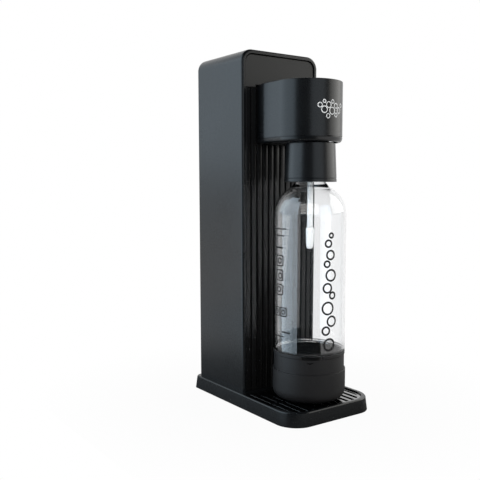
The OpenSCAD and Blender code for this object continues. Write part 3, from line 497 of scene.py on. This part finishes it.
# Head. A round-nosed black hood screwed to the chassis from behind, with a lower ring below a fine groove and
# a plate inside the ring in whose ears the bottle holder hangs. White bubbles are printed on its nose.
head_top = 360.5
groove_low = 301.0
groove_high = 301.6
panel_side = 2.0
head = softened("head_shell", [(0.8, 3, lambda x, y, z: z > head_top),
                               (0.2, 2, lambda x, y, z: z < groove_high and y < panel_side)])
mount(head, "machine", "shell_black", shell_black, "head_shell")
ring = softened("head_lower_ring", [(0.35, 2, lambda x, y, z: z > groove_low and y < panel_side)], 45.0)
mount(ring, "machine", "shell_black", shell_black, "head_lower_ring")
dress(inner_black, "head_bottom_plate")
dress(steel, "head_screws")


def bridged(work, rows, capped=True):
    """Faces between each ring of corners and the next, and over the first and the last one if they are
    capped."""
    for one, two in zip(rows, rows[1:]):
        for k in range(len(one)):
            n = (k + 1) % len(one)
            work.faces.new([one[k], one[n], two[n], two[k]])
    if capped:
        work.faces.new(rows[0])
        work.faces.new(rows[-1])
    bmesh.ops.recalc_face_normals(work, faces=work.faces)


print_back = 0.01
print_front = 0.06


def printed_rings(name, wall, middle_y, rings, line, square=2.0, steps=32):
    """Thin printed rings on an upright round wall. Each ring is an angle in degrees, a height and a radius.
    A square of 2 gives circles, and a larger one gives frames with round corners."""
    section = [(-0.5, print_back), (0.5, print_back), (0.5, print_front), (-0.5, print_front)]
    work = bmesh.new()
    for angle, high, radius in rings:
        rows = []
        for k in range(steps):
            t = 2.0 * math.pi * k / steps
            across = math.copysign(abs(math.cos(t)) ** (2.0 / square), math.cos(t))
            up = math.copysign(abs(math.sin(t)) ** (2.0 / square), math.sin(t))
            row = []
            for reach, lift in section:
                far = radius + reach * line
                a = math.radians(angle) + far * across / wall
                r = (wall + lift) * MM
                z = (high + far * up) * MM
                row.append(work.verts.new((r * math.cos(a), middle_y * MM + r * math.sin(a), z)))
            rows.append(row)
        bridged(work, rows + rows[:1], capped=False)
    return skin(name, work, 40.0)


head_y = -44.5
head_radius = 38.5
head_line = 0.9
print_white = worn("printed_white", (0.70, 0.71, 0.72), (0.82, 0.83, 0.84), patch=0.0008, detail=3.0,
                   roughness=0.4, swing=0.2, Specular_IOR_Level=0.3)
head_fizz = [(250.0, 333.5, 2.4), (257.5, 329.0, 3.4), (257.5, 337.5, 1.6), (265.5, 334.0, 3.0),
             (264.5, 322.5, 2.2), (272.5, 328.0, 3.6), (273.5, 337.5, 1.8), (281.0, 333.5, 2.6),
             (281.5, 324.0, 2.0), (289.0, 329.0, 3.0), (296.0, 334.5, 1.8)]
head_bubbles = printed_rings("head_bubble_print", head_radius, head_y, head_fizz, head_line)
mount(head_bubbles, "machine", "white_plastic", print_white)


# Push button. A round cap with a shallow dish for the finger, on a stem that slides in a guide plate
# against a coil spring.
half_edge = 0.49
on_axis = 1e-6


def eased(points, steps=5):
    """A profile with its corners rounded. Each point is (radius, height, rounding), all in mm."""
    path = []
    for i, (r, z, ease) in enumerate(points):
        corner = Vector((r, z))
        if ease == 0 or i in (0, len(points) - 1):
            path.append(corner)
            continue
        before = Vector(points[i - 1][:2]) - corner
        after = Vector(points[i + 1][:2]) - corner
        start = corner + before.normalized() * min(ease, before.length * half_edge)
        end = corner + after.normalized() * min(ease, after.length * half_edge)
        for k in range(steps + 1):
            t = k / steps
            path.append(start * (1 - t) ** 2 + corner * (2 * t * (1 - t)) + end * t ** 2)
    return path


def turned(name, profile, middle_y, smooth=32.0, steps=128):
    """A piece turned about an upright axis. A profile that doesn't start and end on the axis is a ring."""
    work = bmesh.new()
    turn = [2 * math.pi * k / steps for k in range(steps)]
    loops = []
    for r, z in profile:
        if r < on_axis:
            loops.append([work.verts.new((0.0, middle_y * MM, z * MM))])
            continue
        loops.append([work.verts.new((r * MM * math.cos(a), middle_y * MM + r * MM * math.sin(a), z * MM))
                      for a in turn])
    pairs = list(zip(loops, loops[1:]))
    if profile[0][0] > on_axis:
        pairs.append((loops[-1], loops[0]))
    for low, high in pairs:
        for k in range(steps):
            n = (k + 1) % steps
            corners = [low[k % len(low)], low[n % len(low)], high[n % len(high)], high[k % len(high)]]
            work.faces.new(list(dict.fromkeys(corners)))
    bmesh.ops.recalc_face_normals(work, faces=work.faces)
    return skin(name, work, smooth)


button_profile = eased([(0, 359.9, 0), (12, 359.95, 6), (20.5, 360.5, 3), (24, 360.6, 1.2), (24, 353, 0.4),
                        (22, 353, 0.4), (22, 357.6, 0), (0, 357.6, 0)])
button = turned("button_cap_finished", button_profile, head_y)
mount(button, "button", "shell_black", shell_black, "button_cap")
white_plastic = moulded("white_plastic", (0.91, 0.91, 0.90), (0.95, 0.95, 0.94), roughness=0.34,
                        grain=0.0008, relief=0.00002, Subsurface_Weight=1.0, Subsurface_Scale=0.004,
                        Subsurface_Radius=(1.0, 1.0, 1.0))
dress(white_plastic, "button_stem")

coil_steps = 28
wire_sides = 12


def wound(name, radius, wire, turns, x, y, low, high):
    """A coil spring of round wire about an upright axis, between two heights. All sizes are in mm."""
    work = bmesh.new()
    rows = []
    for k in range(turns * coil_steps + 1):
        a = 2.0 * math.pi * k / coil_steps
        climb = low + wire + (high - low - 2.0 * wire) * k / (turns * coil_steps)
        row = []
        for side in range(wire_sides):
            b = 2.0 * math.pi * side / wire_sides
            r = radius + wire * math.cos(b)
            row.append(work.verts.new(((x + r * math.cos(a)) * MM, (y + r * math.sin(a)) * MM,
                                       (climb + wire * math.sin(b)) * MM)))
        rows.append(row)
    bridged(work, rows)
    return skin(name, work)


spring_low = 346.05
spring_high = 357.55
spring_radius = 8.0
spring_wire = 0.55
spring_turns = 4
button_coil = wound("button_spring_finished", spring_radius, spring_wire, spring_turns, 0.0, head_y,
                    spring_low, spring_high)
mount(button_coil, "machine", "steel", steel, "button_spring")
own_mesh(button_coil)
dress(inner_black, "button_guide")


# Bottle holder. A black body that hangs in the head on two steel pins and tilts forward, inside a tapered
# collar with one fine line near its lower edge. A steel lock ring and a soft seal take the bottle's neck.
axis_y = -51.0
collar_black = moulded("collar_black", shell_dark, shell_pale, roughness=0.28, grain=0.0006,
                       relief=0.000015, Specular_IOR_Level=satin)
collar_profile = eased([(26.1, 254, 0), (28.6, 254, 0.8), (28.45, 257.4, 0.15), (28.0, 257.6, 0.15),
                        (28.0, 258.0, 0.15), (28.4, 258.2, 0.15), (26.8, 296, 1.0), (20.15, 296, 0.3),
                        (20.15, 293, 0.3), (24.3, 293, 0.3)])
collar = turned("holder_collar_finished", collar_profile, axis_y, 40.0)
mount(collar, "holder", "satin_black", collar_black, "holder_collar")
dress(inner_black, "holder_body")
dress(steel, "trunnion_pins", "lock_ring", "lock_screws")
seal_white = worn("seal_white", (0.66, 0.66, 0.64), (0.76, 0.76, 0.74), patch=0.003, detail=3.0,
                  roughness=0.45, swing=0.2, pore=0.0006, relief=0.00003, Subsurface_Weight=0.1)
dress(seal_white, "bottle_seal")


# Nozzle. A white plastic tube hangs from the holder down into the bottle and ends in a thicker bullet-shaped
# tip with one jet. The tube is stouter where the holder grips it.
tube_radius = 3.2
tube_grip_radius = 4.0
tip_radius = 4.4
tip_low = 181.0
tip_high = 205.0
nozzle_steps = 64
tip_profile = eased([(1, tip_high, 0), (1, tip_low, 0.4), (2.8, tip_low, 1.5), (4.0, 184.6, 2.5),
                     (tip_radius, 201, 1.0), (tip_radius, 203, 1.0), (tube_radius, tip_high, 0)])
tip = turned("nozzle_tip_finished", tip_profile, axis_y, 40.0, nozzle_steps)
mount(tip, "holder", "white_plastic", white_plastic, "nozzle_tip")
tube_profile = eased([(1.5, tip_high, 0), (tube_radius, tip_high, 0.2), (tube_radius, 266, 2),
                      (tube_grip_radius, 276, 2), (tube_grip_radius, 294, 0.4), (1.5, 294, 0)])
tube = turned("nozzle_tube_finished", tube_profile, axis_y, 40.0, nozzle_steps)
mount(tube, "holder", "white_plastic", white_plastic, "nozzle_tube")


# Relief valve. A small turned brass valve on top of the holder lets gas out when the pressure is too high.
# Its steel poppet lifts against a coil spring under the cap.
brass = metal("turned_brass", (0.56, 0.42, 0.20), (0.70, 0.54, 0.27), low=0.24, high=0.42,
              stretch=(1.0, 1.0, 8.0))
dress(brass, "relief_body", "relief_cap")
relief_x = -12.0
relief_low = 321.08
relief_high = 323.76
poppet_low = 319.53
poppet_shoulder = 320.98
poppet_high = 325.0
poppet_radius = 3.1
poppet_stem_radius = 0.98
poppet_profile = eased([(0, poppet_low, 0), (poppet_radius, poppet_low, 0.15),
                        (poppet_radius, poppet_shoulder, 0.15), (poppet_stem_radius, poppet_shoulder, 0.1),
                        (poppet_stem_radius, poppet_high, 0.2), (0, poppet_high, 0)])
poppet = turned("relief_poppet_finished", poppet_profile, axis_y, 40.0, 48)
for corner in poppet.data.vertices:
    corner.co.x += relief_x * MM
mount(poppet, "relief", "steel", steel, "relief_poppet")
relief_coil_radius = 2.1
relief_wire = 0.28
relief_turns = 3
relief_coil = wound("relief_spring_finished", relief_coil_radius, relief_wire, relief_turns, relief_x, axis_y,
                    relief_low, relief_high)
mount(relief_coil, "holder", "steel", steel, "relief_spring")
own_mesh(relief_coil)


# Gas hose. A black hose leads the gas from the valve block to the tilting holder, between two brass fittings.
hose_x = 12.0
hose_path = [Vector((28.0, 362.0)), Vector((9.0, 362.0)), Vector((1.5, 312.5)), Vector((-26.5, 312.5))]
hose_radius = 3.0
hose_steps = 40
hose_sides = 24
hose_circle = [2 * math.pi * k / hose_sides for k in range(hose_sides)]
hose_legs = [end - start for start, end in zip(hose_path, hose_path[1:])]
hose_work = bmesh.new()
hose_rings = []
for step in range(hose_steps + 1):
    t = step / hose_steps
    pull = [(1 - t) ** 3, 3 * t * (1 - t) ** 2, 3 * t * t * (1 - t), t ** 3]
    spot = sum((w * p for w, p in zip(pull, hose_path)), Vector((0.0, 0.0)))
    lean = [(1 - t) ** 2, 2 * t * (1 - t), t * t]
    way = sum((w * leg for w, leg in zip(lean, hose_legs)), Vector((0.0, 0.0))).normalized()
    hose_ring = []
    for a in hose_circle:
        out_x = hose_radius * math.cos(a)
        out_up = hose_radius * math.sin(a)
        hose_ring.append(hose_work.verts.new(((hose_x + out_x) * MM, (spot.x - out_up * way.y) * MM,
                                              (spot.y + out_up * way.x) * MM)))
    hose_rings.append(hose_ring)
bridged(hose_work, hose_rings)
hose = skin("gas_hose_finished", hose_work)
hose.data.materials.append(seal_rubber)
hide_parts("gas_hose")
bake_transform(hose)
dress(brass, "hose_fittings", "holder_fitting")


# Bottle. A clear blown bottle with a round shoulder and a neck with two lugs that lock into the holder. Fill
# marks, small frames and a trail of bubbles are printed on its side in black.
clear_plastic, clear_shader, clear_place = finish("clear_plastic", IOR=1.57, Transmission_Weight=1.0,
                                                  Coat_Weight=0.15, Coat_Roughness=0.02)
clear_shader.inputs["Base Color"].default_value = (0.99, 0.995, 1.0, 1.0)
blow_wave = noise(clear_place, 0.030)
feed(clear_shader, Roughness=0.02 + 0.03 * blow_wave, Normal=bumped(blow_wave, 0.00006))
shadow_ray = clear_place.node("LightPath", out="Is Shadow Ray")
through = clear_place.node("BsdfTransparent", None, {"Color": (0.97, 0.98, 0.985, 1.0)})
clear_body = Shade(clear_place.tree, clear_shader.outputs[0])
clear_mix = clear_place.node("MixShader", None, {0: shadow_ray, 1: clear_body, 2: through})
clear_place.tree.links.new(clear_mix.socket, clear_place.tree.nodes["Material Output"].inputs["Surface"])

bottle_radius = 39.2
bottle_wall = 1.2
foot_radius = 37.3
foot_low = 19.2
foot_high = 68.7
neck_radius = 15.0
neck_bore = 13.0
neck_low = 258.0
neck_high = 286.0
shoulder_z = 219.0
shoulder_radius = 32.21
shoulder_rise = 28.5
shoulder_steps = 24
crease_angle = math.asin(shoulder_rise / shoulder_radius)
crease_shift = 0.035
shoulder_middle = bottle_radius - shoulder_radius


def shoulder(radius, first, last):
    """Points along the shoulder's round, for one face of the wall."""
    angles = [first + (last - first) * k / shoulder_steps for k in range(shoulder_steps + 1)]
    return [(shoulder_middle + radius * math.cos(a), shoulder_z + radius * math.sin(a), 0) for a in angles]


outer_wall = [(0, foot_low, 0), (foot_radius, foot_low, 12), (foot_radius, foot_high, 1),
              (bottle_radius, 70.3, 1.5)]
outer_wall += shoulder(shoulder_radius, 0.0, crease_angle)
outer_wall += [(20.8, 248.3, 1), (18.0, 252.0, 1.5), (15.8, 254.5, 1), (neck_radius, neck_low, 1),
               (neck_radius, neck_high, 0.4)]
inner_wall = [(neck_bore, neck_high, 0.4), (neck_bore, neck_low, 1), (14.6, 254.0, 1), (16.8, 250.8, 1)]
inner_wall += shoulder(shoulder_radius - bottle_wall, crease_angle - crease_shift, 0.0)
inner_wall += [(bottle_radius - bottle_wall, 71.5, 1.5), (foot_radius - bottle_wall, foot_high, 1),
               (foot_radius - bottle_wall, foot_low + bottle_wall, 11), (0, foot_low + bottle_wall, 0)]
bottle = turned("bottle_body_finished", eased(outer_wall + inner_wall, 8), axis_y, 50.0, 160)
mount(bottle, "bottle", "clear_plastic", clear_plastic, "bottle_body")

bar_steps = 24


def curved_bar(name, low_r, high_r, low_z, high_z, first, last, point=0.0):
    """A short bar bent round the bottle's axis between two angles in degrees. Its lower edge can drop to a
    point in the middle."""
    work = bmesh.new()
    rows = []
    for k in range(bar_steps + 1):
        a = math.radians(first + (last - first) * k / bar_steps)
        edge = low_z - point * (1.0 - abs(2.0 * k / bar_steps - 1.0))
        rows.append([work.verts.new((r * MM * math.cos(a), axis_y * MM + r * MM * math.sin(a), z * MM))
                     for r, z in [(low_r, edge), (high_r, edge), (high_r, high_z), (low_r, high_z)]])
    bridged(work, rows)
    return skin(name, work, 40.0)


lug_root = 14.4
lug_reach = 17.6
lug_low = 274.8
lug_high = 278.8
lug_half = 20
for side, middle in [("right", 0), ("left", 180)]:
    lug = curved_bar("bottle_lug_" + side, lug_root, lug_reach, lug_low, lug_high, middle - lug_half,
                     middle + lug_half)
    mount(lug, "bottle", "clear_plastic", clear_plastic)

print_black = worn("printed_black", (0.010, 0.010, 0.011), (0.020, 0.020, 0.021), patch=0.0008, detail=3.0,
                   roughness=0.4, swing=0.2, Specular_IOR_Level=0.2)
print_low = bottle_radius + print_back
print_high = bottle_radius + print_front
fill_marks = [("top", 203.5, 1.1, 151, 190), ("under_top", 196.2, 1.3, 164, 186),
              ("high", 183.2, 1.7, 162, 182), ("bottom", 87.7, 0.9, 160, 186),
              ("beside_bottom", 92.6, 1.4, 181, 198)]
for place, low_z, thick, first, last in fill_marks:
    mark = curved_bar("fill_mark_" + place, print_low, print_high, low_z, low_z + thick, first, last)
    mount(mark, "bottle", "inner_black", print_black)

frame_line = 1.1
frame_square = 6.0
frame_steps = 64
badge_line = 1.3
badge_share = 0.5
badge_drop = 1.0 / 3.0
badges = [(174.5, 170.0, 5.6), (174.5, 154.4, 5.6), (174.5, 138.8, 5.6), (168.0, 115.0, 4.6),
          (184.0, 115.0, 4.6)]
badge_leans = [0.0, 1.5, -1.5, 0.0, 0.0]
badge_frames = printed_rings("bottle_badge_frames", bottle_radius, axis_y, badges, frame_line, frame_square,
                             frame_steps)
mount(badge_frames, "bottle", "inner_black", print_black)
badge_middles = [(angle + lean, high - lean * badge_drop, radius * badge_share)
                 for lean, (angle, high, radius) in zip(badge_leans, badges)]
badge_rings = printed_rings("bottle_badge_rings", bottle_radius, axis_y, badge_middles, badge_line)
mount(badge_rings, "bottle", "inner_black", print_black)
bubble_line = 2.0
bubble_trail = [(262, 82.0, 6.2), (256, 97.0, 4.2), (266, 107.0, 5.2), (259, 121.0, 6.4), (267, 134.5, 3.4),
                (258, 142.5, 4.8), (264, 156.0, 5.8), (257, 168.0, 3.2), (263, 177.5, 4.6), (259, 189.5, 3.6),
                (264, 198.0, 2.4)]
bubbles = printed_rings("bottle_bubble_print", bottle_radius, axis_y, bubble_trail, bubble_line)
mount(bubbles, "bottle", "inner_black", print_black)


# Bottle cup. A black moulded cup is pressed over the bottle's foot. It has a step in its side and a groove
# under its lip, and a small notch and arrow show how the neck's lugs stand. Its inside is painted shade: it
# takes the notch's darker, glossier black in place of the shade and dark reflections that lie in it.
cup_black = moulded("cup_black", (0.0080, 0.0074, 0.0077), (0.0106, 0.0099, 0.0102), roughness=0.50,
                    grain=0.0007, relief=0.00002, Specular_IOR_Level=0.42)
cup_radius = 40.1
cup_low = 17.0
cup_floor = 19.1
cup_bore = 37.4
bore_slack = 0.05
waist_radius = 38.7
groove_radius = 38.2
lip_radius = 39.3
lip_top = 69.9
level_slope = 0.02
recess_radius = 38.0
recess_deepest = 38.1
recess_edge = 0.05
recess_low = 65.5
recess_high = 69.2
recess_first = math.radians(216.5)
recess_last = math.radians(251.5)
cup_profile = eased([(0, cup_low, 0), (cup_radius, cup_low, 12), (cup_radius, 49.6, 0.25),
                     (waist_radius, 49.9, 0.15), (waist_radius, recess_low - recess_edge, 0),
                     (waist_radius, recess_low, 0), (waist_radius, 66.0, 0.1), (groove_radius, 66.15, 0.1),
                     (groove_radius, 66.5, 0.1), (lip_radius, 66.65, 0.12),
                     (lip_radius, recess_high - recess_edge, 0), (lip_radius, recess_high, 0),
                     (lip_radius, lip_top, 0.2), (38.5, lip_top, 0.2), (cup_bore, 68.5, 0.2),
                     (cup_bore, 31.2, 10), (25.3, cup_floor, 2), (0, cup_floor, 0)], 8)
cup = turned("bottle_base_cup_finished", cup_profile, axis_y, 40.0, 200)
for corner in cup.data.vertices:
    out = Vector((corner.co.x, corner.co.y - axis_y * MM))
    turn = math.atan2(out.y, out.x) % (2.0 * math.pi)
    high = corner.co.z / MM
    in_height = recess_low < high + recess_edge / 2.0 < recess_high
    in_recess = in_height and recess_first < turn < recess_last
    if in_recess and out.length > recess_deepest * MM:
        out = out.normalized() * recess_radius * MM
        corner.co.x = out.x
        corner.co.y = out.y + axis_y * MM
mount(cup, "bottle", "satin_black", cup_black, "bottle_base_cup")
notch_black_and_painted_shade = moulded("notch_black_and_painted_shade", (0.0015, 0.0015, 0.0015), (0.0025, 0.0025, 0.0025), roughness=0.14,
                      grain=0.0010, relief=0.000004)
cup.data.materials.append(notch_black_and_painted_shade)
# Painted shade: the faces inside the cup take the notch's darker, glossier black.
for face in cup.data.polygons:
    out = Vector((face.center.x, face.center.y - axis_y * MM, 0.0))
    faces_in = face.normal.z > level_slope or face.normal.dot(out) < 0.0
    if faces_in and out.length < (cup_bore + bore_slack) * MM:
        face.material_index = 1
notch_back = 37.6
notch_front = 38.1
notch_gap = 0.1
notch = curved_bar("cup_notch", notch_back, notch_front, recess_low + notch_gap, recess_high - notch_gap,
                   217.5, 250.5)
mount(notch, "bottle", "satin_black", notch_black_and_painted_shade)
arrow_back = 38.5
arrow_front = 38.78
arrow_low = 63.0
arrow_high = 63.2
arrow = curved_bar("cup_arrow", arrow_back, arrow_front, arrow_low, arrow_high, 225.0, 236.8, point=2.0)
mount(arrow, "bottle", "satin_black", notch_black_and_painted_shade)


# Gas cylinder. A drawn aluminium vessel in a printed blue film sleeve, with a brass valve that screws into
# the valve block and a steel pin in its middle.
drawn_aluminium = metal("drawn_aluminium", (0.60, 0.61, 0.62), (0.74, 0.75, 0.76), low=0.30, high=0.48,
                        stretch=(1.0, 1.0, 9.0))
film, film_shader, film_place = finish("blue_film", Coat_Roughness=0.2)
film_high = coordinate(film_place, 2)
low_stripe = (film_high > 0.060) * (film_high < 0.075)
high_stripe = (film_high > 0.262) * (film_high < 0.268)
film_field = blended((0.010, 0.085, 0.36, 1.0), (0.016, 0.115, 0.44, 1.0), noise(film_place, 0.02))
film_tone = blended(film_field, (0.72, 0.75, 0.78, 1.0), low_stripe + high_stripe)
film_scuff = noise(film_place, 0.004, 4.0)
feed(film_shader, Base_Color=film_tone, Roughness=0.26 + 0.14 * film_scuff,
     Coat_Weight=0.2 + 0.2 * film_scuff, Normal=bumped(film_scuff, 0.00002))
dress(drawn_aluminium, "gas_vessel")
dress(film, "gas_label_sleeve")
dress(brass, "gas_valve")
dress(steel, "gas_valve_pin")


# Rear cover. A flat black cover with a finger recess near its top. It snaps into the back of the shell and
# pulls straight off to change the gas cylinder.
cover_face_y = 92.0
cover = softened("rear_cover", [(0.6, 3, lambda x, y, z: y > cover_face_y)], reshape=spread)
mount(cover, "rear_cover", "shell_black", shell_black, "rear_cover")
